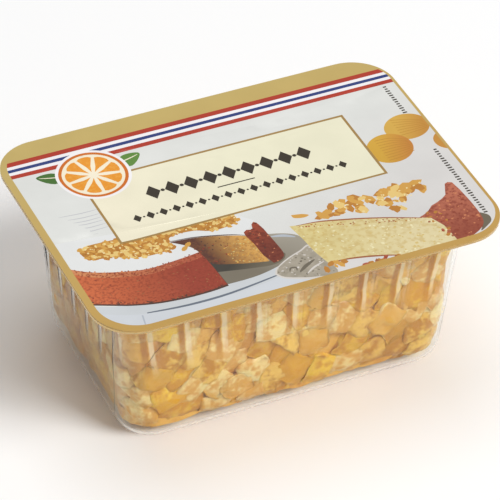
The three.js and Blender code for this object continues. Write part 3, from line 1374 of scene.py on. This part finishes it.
        lower = [(5.0, -30.1), (9.0, -30.2), (13.5, -31.1), (18.0, -32.5), (21.5, -33.9)]
        lone = [(5.2, -11.0), (7.6, -11.6), (8.8, -12.5), (7.4, -12.9), (5.4, -12.2), (5.2, -11.0)]
        inner = [(30.4, -24.0), (34.5, -21.0), (36.0, -27.0), (33.8, -33.0)]
        strip = [(4.0, -14.6), (30.0, -22.6), (30.0, -24.2), (4.4, -15.8)]
        big = (Ink.MIDDLE_BIT, Ink.DEEP_BIT, Ink.MIDDLE_BIT, Ink.LIGHT_BIT)
        brown = (Ink.SEAM, Ink.CRUST_RIM, Ink.DEEP_BIT)
        return [
            (Ink.SHADOW, flowing(shade)),
            (Ink.CRUMB, crumb),
            *self.flakes(crumb, 170, 0.18, 0.5, Ink.PALE_CRUMB, Ink.GOLD_CRUMB),
            (Ink.SLICE_CRUST, crust),
            *self.flakes(crust, 70, 0.2, 0.5, Ink.PALE_CRUST, Ink.DARK_CRUST),
            (Ink.SEAM, ribbon(upper, 0.5)),
            (Ink.SEAM, ribbon(lower, 0.55)),
            (Ink.MIDDLE_BIT, flowing(lone)),
            *self.flakes(heap, 34, 1.2, 2.0, Ink.MIDDLE_BIT, Ink.DEEP_BIT),
            *self.flakes(heap, 44, 1.0, 1.7, *big),
            *self.flakes(heap, 26, 0.25, 0.45, Ink.BIT_GLINT),
            *self.flakes(flowing(low_bits), 8, 0.8, 1.3, *big),
            *self.flakes(flowing(end_bits), 8, 0.7, 1.2, *brown),
            *self.flakes(inner, 22, 0.3, 0.7, *brown),
            *self.flakes(strip, 60, 0.15, 0.34, *brown),
        ]

    def oranges(self) -> list[Layer]:
        """Three whole oranges behind the panel's right edge, with faint ribs.

        Returns:
            Their layers, the lowest first.
        """
        layers: list[Layer] = [
            (Ink.FAR_ORANGE, round_loop((48.8, -0.6), (3.2, 3.4))),
            (Ink.FAR_ORANGE, round_loop((42.5, 7.3), (5.4, 4.6), turn=0.15)),
        ]
        for k in range(3, -4, -1):
            line = [(40.0, 7.9 + k), (43.4, 7.3 + 0.8 * k), (46.8, 6.8 + 0.5 * k)]
            layers.append((Ink.ORANGE_LINE, ribbon(line, 0.14, 1.0)))
        layers.append((Ink.ORANGE, round_loop((35.6, 1.8), (5.3, 5.2))))
        for k in range(-4, 5):
            line = [(33.6, 1.8 + 0.95 * k), (37.0, 1.5 + 0.9 * k), (40.2, 1.0 + 0.55 * k)]
            layers.append((Ink.ORANGE_LINE, ribbon(line, 0.16, 1.0)))
        return layers

    def title_panel(self) -> list[Layer]:
        """The cream panel in its brown outline, with two rows of lozenges and a rule.

        Returns:
            Its layers, the lowest first.
        """
        x0, y0, x1, y1, edge = -32.7, -5.7, 31.0, 17.3, 0.3
        layers: list[Layer] = [
            (Ink.PANEL_EDGE, box_loop(x0 - edge, y0 - edge, x1 + edge, y1 + edge)),
            (Ink.PANEL, box_loop(x0 + edge, y0 + edge, x1 - edge, y1 - edge)),
            (Ink.MARK, box_loop(-5.5, 4.05, 3.5, 4.4)),
        ]
        rows = ((-21.0, 19.0, 8.2, 9, 1.75, 2.5), (-27.0, 24.5, 1.0, 17, 1.0, 1.35))
        for left, right, y, count, wide, tall in rows:
            pitch = (right - left - 2 * wide) / (count - 1)
            for k in range(count):
                x = left + wide + k * pitch
                layers.append((Ink.MARK, [(x - wide, y), (x, y - tall), (x + wide, y), (x, y + tall)]))
                if k + 1 < count:
                    dot = (wide * 0.28, wide * 0.28)
                    layers.append((Ink.MARK, round_loop((x + pitch / 2, y), dot, 10)))
        return layers

    def side_marks(self) -> list[Layer]:
        """Two fine rows of dashes along the right edge, where small type would be.

        Returns:
            Their layers, the lowest first.
        """
        layers: list[Layer] = []
        for low, high, count in ((11.8, 23.2, 13), (-27.8, -2.4, 28)):
            for k in range(count):
                y = low + (high - low) * (k + 0.5) / count
                wide = self.draws.uniform(0.35, 0.62)
                layers.append((Ink.MARK, box_loop(44.5 - wide, y - 0.24, 44.5 + wide, y + 0.2)))
        return layers

    def citrus_wheel(self) -> list[Layer]:
        """A slice of orange with two leaves, in the place of a badge.

        Returns:
            Its layers, the lowest first.
        """
        x, y, radius, segments = -29.0, 18.9, 7.8, 9
        layers: list[Layer] = []
        for side, ink in ((-1, Ink.DARK_LEAF), (1, Ink.LEAF)):
            base, tip = x + side * 5.6, x + side * 12.4
            leaf = [
                (base, y + 1.6), (base + side * 3.0, y + 3.9), (tip, y + 3.2),
                (base + side * 3.6, y - 0.2), (base, y + 1.6),
            ]
            vein = [(base, y + 1.7), (base + side * 3.4, y + 2.2), (tip - side * 0.6, y + 3.0)]
            layers += [(ink, flowing(leaf)), (Ink.PITH, ribbon(vein, 0.3))]
        for ink, rim in ((Ink.WHITE, radius + 0.7), (Ink.PEEL, radius), (Ink.PITH, radius - 0.75)):
            layers.append((ink, round_loop((x, y), (rim, rim), 72)))
        width = math.tau / segments * 0.42
        for k in range(segments):
            middle = (k + 0.25) / segments * math.tau
            bow = [(width * t, radius - 1.45 - 0.35 * t**4) for t in (-1, -0.6, -0.2, 0.2, 0.6, 1)]
            spoke = [*bow, (width * 0.55, 2.9), (0.0, 1.0), (-width * 0.55, 2.9)]
            loop = [(x + r * math.cos(middle + a), y + r * math.sin(middle + a)) for a, r in spoke]
            layers.append((Ink.SEGMENT, loop))
        return layers

    def layers(self) -> list[Layer]:
        """Everything printed, from the back of the picture to the front.

        Returns:
            All the layers, the lowest first.
        """
        parts = (
            self.frame_fields, self.table, self.round_cake, self.cake_server, self.cake_slice,
            self.oranges, self.title_panel, self.side_marks, self.citrus_wheel,
        )
        return [layer for part in parts for layer in part()]


@dataclass
class LidFilm:
    """The lidding film: one thin sheet whose top face is cut into fields of ink."""

    shape: TubShape
    artwork: CakePrint = field(default_factory=CakePrint)
    dip: float = 0.55
    dip_reach: float = 13.0
    pucker: float = 0.07
    wrinkle_mm: Point = (9.0, 7.0)
    flutter_mm: Point = (3.1, 3.6)
    flutter_share: float = 0.35
    rim_width: float = 1.5
    bond: float = 0.08
    grid: float = 2.2
    window_corner: float = 9.2
    window_margin: float = 1.2
    window_shift: float = 0.5

    def height(self, x: float, y: float) -> float:
        """How far the top face lies above the film's highest level at a place.

        Args:
            x: the place along X.
            y: the place along Y.

        Returns:
            The height, which is never above 0.
        """
        half_x, half_y = self.shape.half_sides(self.shape.height, self.shape.sheet)
        depth = min(half_x - abs(x), half_y - abs(y))
        sunk = float(smoothstep(0.0, self.dip_reach, depth))
        rim = float(smoothstep(-self.rim_width, self.rim_width, depth))
        wrinkle, flutter = (
            noise.noise(Vector((x / across, y / along, layer)))
            for (across, along), layer in ((self.wrinkle_mm, 3.0), (self.flutter_mm, 8.0))
        )
        uneven = self.pucker * (1 + wrinkle + flutter * self.flutter_share)
        return -self.dip * sunk - rim * uneven

    def top_face(self) -> tuple[list[Point], list[list[int]], list[Ink]]:
        """Cut the top face along every outline of the print.

        Returns:
            Its points, its triangles and the ink of each triangle.
        """
        length, width = self.shape.length, self.shape.width
        half_x, half_y, margin = length / 2, width / 2, self.window_margin
        edge = round_box_loop(half_x, half_y, self.shape.flange_corner)
        window = round_box_loop(
            half_x - margin, half_y - margin, self.window_corner, self.window_shift
        )
        layers: list[Layer] = [(None, window), *self.artwork.layers()]
        points: list[Vector] = []
        faces: list[list[int]] = []
        for loop in (edge, *(outline for _, outline in layers)):
            area = sum(a[0] * b[1] - b[0] * a[1] for a, b in zip(loop, [*loop[1:], loop[0]]))
            ordered = list(loop if area > 0 else reversed(loop))
            if math.dist(ordered[0], ordered[-1]) < 1e-6:
                ordered.pop()
            faces.append(list(range(len(points), len(points) + len(ordered))))
            points += [Vector(p) for p in ordered]
        steps_x, steps_y, keep_off = int(length / self.grid), int(width / self.grid), 1.02
        for i in range(1, steps_x):
            for j in range(1, steps_y):
                x, y = i * length / steps_x - half_x, j * width / steps_y - half_y
                if inside(edge, x * keep_off, y * keep_off):
                    points.append(Vector((x, y)))
        cut, _, triangles, _, _, owners = delaunay_2d_cdt(points, [], faces, 1, 1e-4, True)
        inks, kept = [], []
        for triangle, owner in zip(triangles, owners):
            if 0 in owner:
                top = max(owner)
                inks.append(layers[top - 1][0] if top > 1 and 1 in owner else Ink.GOLD)
                kept.append(list(triangle))
        numbers = {old: new for new, old in enumerate(sorted({i for t in kept for i in t}))}
        return [tuple(cut[i]) for i in numbers], [[numbers[i] for i in t] for t in kept], inks

    def build(self) -> bpy.types.Object:
        """Make the film: printed top, lacquered underside and gold cut edge.

        Returns:
            The finished piece.
        """
        flat, triangles, inks = self.top_face()
        top, count = self.shape.height, len(flat)
        upper = [(x, y, top + self.height(x, y)) for x, y in flat]
        lower = [(x, y, z - self.shape.film - self.bond) for x, y, z in upper]
        used = list(dict.fromkeys([Ink.GOLD, Ink.UNDERSIDE, *inks]))
        sides = {(t[i], t[(i + 1) % 3]) for t in triangles for i in range(3)}
        edge = [(b, a, count + a, count + b) for a, b in sides if (b, a) not in sides]
        faces = [*triangles, *([count + i for i in reversed(t)] for t in triangles), *edge]
        dress = [*inks, *[Ink.UNDERSIDE] * len(triangles), *[Ink.GOLD] * len(edge)]
        slots = [used.index(ink) for ink in dress]
        points = np.array([*upper, *lower])
        film = mesh_object("printed_film", points, faces, [ink.material() for ink in used], slots)
        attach(film, BODY)
        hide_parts("lid_film")
        return film


# ------------------------------------------------------------------------ the studio


@dataclass(frozen=True)
class FloorPaint:
    """Pale matt paint, rolled on: it has no gloss, so the floor shows only soft shadow."""

    colour: str = "#FBFBFB"
    roughness: float = 0.9

    def material(self) -> bpy.types.Material:
        """Build the material, even all over.

        Returns:
            The new material.
        """
        material, tree = open_material("pale_floor")
        paint = {"Base Color": srgb(self.colour), "Roughness": self.roughness}
        shader = add_node(tree, "ShaderNodeBsdfPrincipled", paint)
        add_node(tree, "ShaderNodeOutputMaterial", {"Surface": shader})
        return material


@dataclass
class Studio:
    """Pale floor, soft lights and the camera."""

    shape: TubShape
    azimuth: float = -25.30
    elevation: float = 38.80
    roll: float = 1.35
    lens: float = 249.5
    distance: float = 761.4
    aim_right: float = 0.35
    aim_up: float = -13.18
    floor_side: float = 3000.0

    def camera(self) -> bpy.types.Object:
        """Place the camera from its angles about the middle of the film.

        Returns:
            The camera.
        """
        a, e, t = (math.radians(v) for v in (self.azimuth, self.elevation, self.roll))
        back = Vector((math.sin(a) * math.cos(e), -math.cos(a) * math.cos(e), math.sin(e)))
        level = (-back).cross(Vector((0, 0, 1))).normalized()
        over = level.cross(-back)
        right = level * math.cos(t) + over * math.sin(t)
        up = over * math.cos(t) - level * math.sin(t)
        place = right * self.aim_right + up * self.aim_up + back * self.distance
        place.z += self.shape.height
        lens = bpy.data.cameras.new("camera")
        lens.lens, lens.clip_end = self.lens, 10.0
        camera = bpy.data.objects.new("camera", lens)
        turn = Matrix((right, up, back)).transposed().to_4x4()
        camera.matrix_world = Matrix.Translation(place * MM) @ turn
        bpy.context.scene.collection.objects.link(camera)
        bpy.context.scene.camera = camera
        return camera

    def light(self, name: str, place: Point, height: float, size: float, power: float) -> None:
        """Hang one square soft light that faces the middle of the tub.

        Args:
            name: the light's name.
            place: where it hangs, in metres from the middle of the tub.
            height: its height in metres.
            size: its side in metres.
            power: its power in watts.
        """
        lamp = bpy.data.lights.new(name, "AREA")
        lamp.size, lamp.energy = size, power
        holder = bpy.data.objects.new(name, lamp)
        holder.location = (*place, height)
        aim = Vector((0, 0, self.shape.height * MM / 2)) - holder.location
        holder.rotation_euler = aim.to_track_quat("-Z", "Y").to_euler()
        bpy.context.scene.collection.objects.link(holder)

    def floor(self) -> bpy.types.Object:
        """Lay the pale matt floor under the tub.

        Returns:
            The floor.
        """
        half = self.floor_side / 2
        corners = [(x, y, 0) for x, y in box_loop(-half, -half, half, half)]
        floor = mesh_object("floor", np.array(corners), [(0, 1, 2, 3)], [FloorPaint().material()])
        return floor

    def build(self) -> None:
        """Set up the floor, the lights, the sky and the camera."""
        self.floor()
        self.light("key", (1.0, -1.45), 1.9, 1.0, 47.0)
        self.light("top", (0.0, 0.5), 2.2, 1.5, 14.5)
        world = bpy.data.worlds.new("studio")
        world.use_nodes = True
        sky = world.node_tree.nodes["Background"]
        sky.inputs["Color"].default_value = srgb("#FFFFFF")
        sky.inputs["Strength"].default_value = 0.3
        scene = bpy.context.scene
        scene.world = world
        scene.view_settings.view_transform = "Standard"
        self.camera()


def main() -> None:
    """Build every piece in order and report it."""
    logging.basicConfig(level=logging.INFO, format="%(name)s: %(message)s")
    shape = TubShape.from_frame()
    pieces = [ClearTub(shape).build(), LidFilm(shape).build(), *DicedPeel(shape).build()]
    for piece in pieces:
        piece.data.calc_loop_triangles()
        log.info("%s: %d triangles", piece.name, len(piece.data.loop_triangles))
    Studio(shape).build()


if __name__ == "__main__":
    main()
